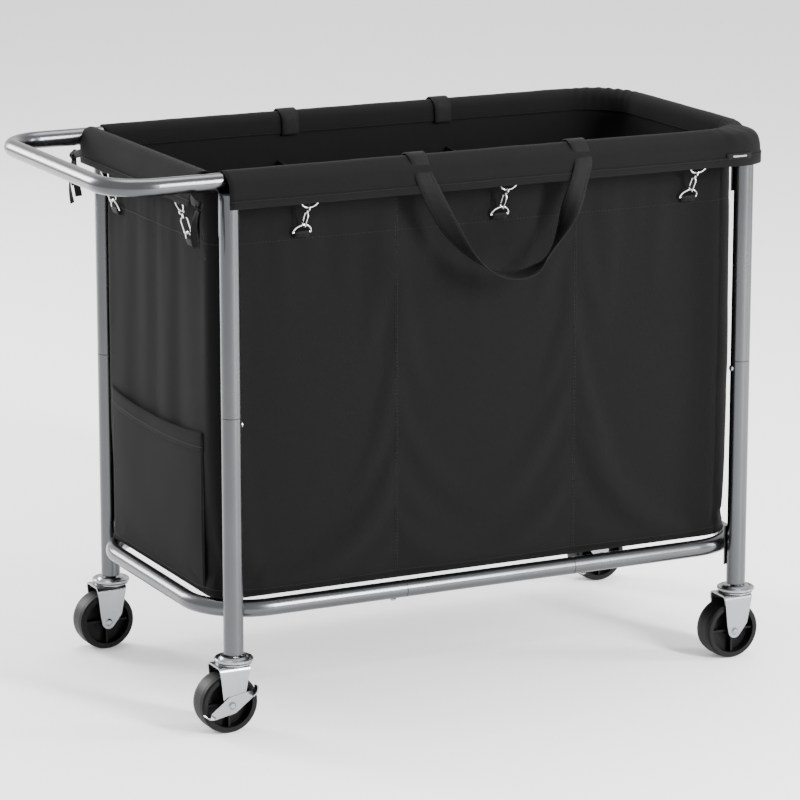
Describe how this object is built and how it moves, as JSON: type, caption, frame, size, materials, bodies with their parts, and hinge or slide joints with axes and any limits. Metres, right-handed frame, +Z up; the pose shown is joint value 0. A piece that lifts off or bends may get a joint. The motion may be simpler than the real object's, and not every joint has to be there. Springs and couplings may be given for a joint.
{
  "type": "wheeled laundry sorter",
  "caption": "Tube-frame laundry trolley on swivel casters with a push handle and an open fabric bag divided into compartments, clipped under a fabric rail cover.",
  "frame": {"origin": "on the floor, at the middle of the bounding box in X and Y", "axes": "+Z up; +X along the long side, away from the push handle; +Y across, towards the back long side"},
  "size_m": [0.9263, 0.4606, 0.702],
  "materials": {
    "satin_steel": "satin silver-grey powder coat on steel tube",
    "zinc": "bright zinc plate on pressed steel",
    "black_plastic": "moulded black plastic, matt",
    "wheel_rubber": "moulded black wheel, satin flanks and duller tread",
    "charcoal_fabric": "coated plain-weave polyester, charcoal black",
    "black_webbing": "woven polypropylene webbing with a light stitch line",
    "board": "fabric-covered stiff board",
    "label": "plain woven tab, blank"
  },
  "bodies": {
    "frame": {"handle_rail": "satin_steel", "end_rail": "satin_steel", "crossbar": "satin_steel", "ring_left": "satin_steel", "ring_right": "satin_steel", "ring_middle_front": "satin_steel", "ring_middle_back": "satin_steel", "leg_upper_fl": "satin_steel", "leg_upper_fr": "satin_steel", "leg_upper_bl": "satin_steel", "leg_upper_br": "satin_steel", "leg_lower_fl": "satin_steel", "leg_lower_fr": "satin_steel", "leg_lower_bl": "satin_steel", "leg_lower_br": "satin_steel", "tube_connectors": "satin_steel", "bracket_plates": "satin_steel", "frame_screws": "zinc", "caster_stems": "zinc", "upper_rings": "zinc", "lower_rings": "zinc", "snap_hooks": "zinc", "fixed_gates": "zinc", "leg_plugs": "black_plastic", "stem_sockets": "black_plastic", "bag_shell": "charcoal_fabric", "divider_left": "charcoal_fabric", "divider_right": "charcoal_fabric", "side_pocket": "charcoal_fabric", "flap_front": "charcoal_fabric", "flap_back": "charcoal_fabric", "flap_right": "charcoal_fabric", "flap_left": "charcoal_fabric", "handle_anchors": "black_webbing", "tie_straps": "black_webbing", "ring_tabs": "black_webbing", "floor_board": "board", "blank_label": "label"},
    "caster_fl": {"fork_fl": "zinc", "axle_fl": "zinc"},
    "wheel_fl": {"wheel_fl": "wheel_rubber"},
    "caster_fr": {"fork_fr": "zinc", "axle_fr": "zinc"},
    "wheel_fr": {"wheel_fr": "wheel_rubber"},
    "caster_bl": {"fork_bl": "zinc", "axle_bl": "zinc"},
    "wheel_bl": {"wheel_bl": "wheel_rubber"},
    "caster_br": {"fork_br": "zinc", "axle_br": "zinc"},
    "wheel_br": {"wheel_br": "wheel_rubber"},
    "brake_fl": {"brake_lever_fl": "zinc"},
    "brake_br": {"brake_lever_br": "zinc"},
    "carry_front": {"carry_handle_front": "black_webbing"},
    "carry_back": {"carry_handle_back": "black_webbing"},
    "gate_1": {"hook_gate_1": "zinc"},
    "gate_2": {"hook_gate_2": "zinc"},
    "gate_3": {"hook_gate_3": "zinc"},
    "gate_4": {"hook_gate_4": "zinc"},
    "gate_5": {"hook_gate_5": "zinc"}
  },
  "joints": [
    {"name": "swivel_fl", "type": "hinge", "parent": "frame", "child": "caster_fl", "pos_m": [-0.307, -0.2, 0.084], "axis": [0, 0, 1], "continuous": true},
    {"name": "spin_fl", "type": "hinge", "parent": "caster_fl", "child": "wheel_fl", "pos_m": [-0.319, -0.2, 0.038], "axis": [0, 1, 0], "continuous": true},
    {"name": "swivel_fr", "type": "hinge", "parent": "frame", "child": "caster_fr", "pos_m": [0.413, -0.2, 0.084], "axis": [0, 0, 1], "continuous": true},
    {"name": "spin_fr", "type": "hinge", "parent": "caster_fr", "child": "wheel_fr", "pos_m": [0.401, -0.2, 0.038], "axis": [0, 1, 0], "continuous": true},
    {"name": "swivel_bl", "type": "hinge", "parent": "frame", "child": "caster_bl", "pos_m": [-0.307, 0.2, 0.084], "axis": [0, 0, 1], "continuous": true},
    {"name": "spin_bl", "type": "hinge", "parent": "caster_bl", "child": "wheel_bl", "pos_m": [-0.319, 0.2, 0.038], "axis": [0, 1, 0], "continuous": true},
    {"name": "swivel_br", "type": "hinge", "parent": "frame", "child": "caster_br", "pos_m": [0.413, 0.2, 0.084], "axis": [0, 0, 1], "continuous": true},
    {"name": "spin_br", "type": "hinge", "parent": "caster_br", "child": "wheel_br", "pos_m": [0.425, 0.2, 0.038], "axis": [0, 1, 0], "continuous": true},
    {"name": "brake_fl", "type": "hinge", "parent": "caster_fl", "child": "brake_fl", "pos_m": [-0.319, -0.221, 0.038], "axis": [0, 1, 0], "range_deg": [0, 38]},
    {"name": "brake_br", "type": "hinge", "parent": "caster_br", "child": "brake_br", "pos_m": [0.425, 0.221, 0.038], "axis": [0, -1, 0], "range_deg": [0, 38]},
    {"name": "carry_front", "type": "hinge", "parent": "frame", "child": "carry_front", "pos_m": [0.0585, -0.2158, 0.6783], "axis": [-1, 0, 0], "range_deg": [0, 150]},
    {"name": "carry_back", "type": "hinge", "parent": "frame", "child": "carry_back", "pos_m": [0.0585, 0.2158, 0.6783], "axis": [1, 0, 0], "range_deg": [0, 150]},
    {"name": "gate_1", "type": "hinge", "parent": "frame", "child": "gate_1", "pos_m": [-0.20305, -0.20024, 0.63561], "axis": [1, 0, 0], "range_deg": [0, 20], "stiffness_Nm_per_rad": 0.002, "springref_deg": -11.46},
    {"name": "gate_2", "type": "hinge", "parent": "frame", "child": "gate_2", "pos_m": [0.06895, -0.20024, 0.63561], "axis": [1, 0, 0], "range_deg": [0, 20], "stiffness_Nm_per_rad": 0.002, "springref_deg": -11.46},
    {"name": "gate_3", "type": "hinge", "parent": "frame", "child": "gate_3", "pos_m": [0.34095, -0.20024, 0.63561], "axis": [1, 0, 0], "range_deg": [0, 20], "stiffness_Nm_per_rad": 0.002, "springref_deg": -11.46},
    {"name": "gate_4", "type": "hinge", "parent": "frame", "child": "gate_4", "pos_m": [-0.33559, -0.12, 0.6281], "axis": [0, -1, 0], "range_deg": [0, 20], "stiffness_Nm_per_rad": 0.002, "springref_deg": -11.46},
    {"name": "gate_5", "type": "hinge", "parent": "frame", "child": "gate_5", "pos_m": [-0.33559, 0.12, 0.6281], "axis": [0, -1, 0], "range_deg": [0, 20], "stiffness_Nm_per_rad": 0.002, "springref_deg": -11.46}
  ]
}
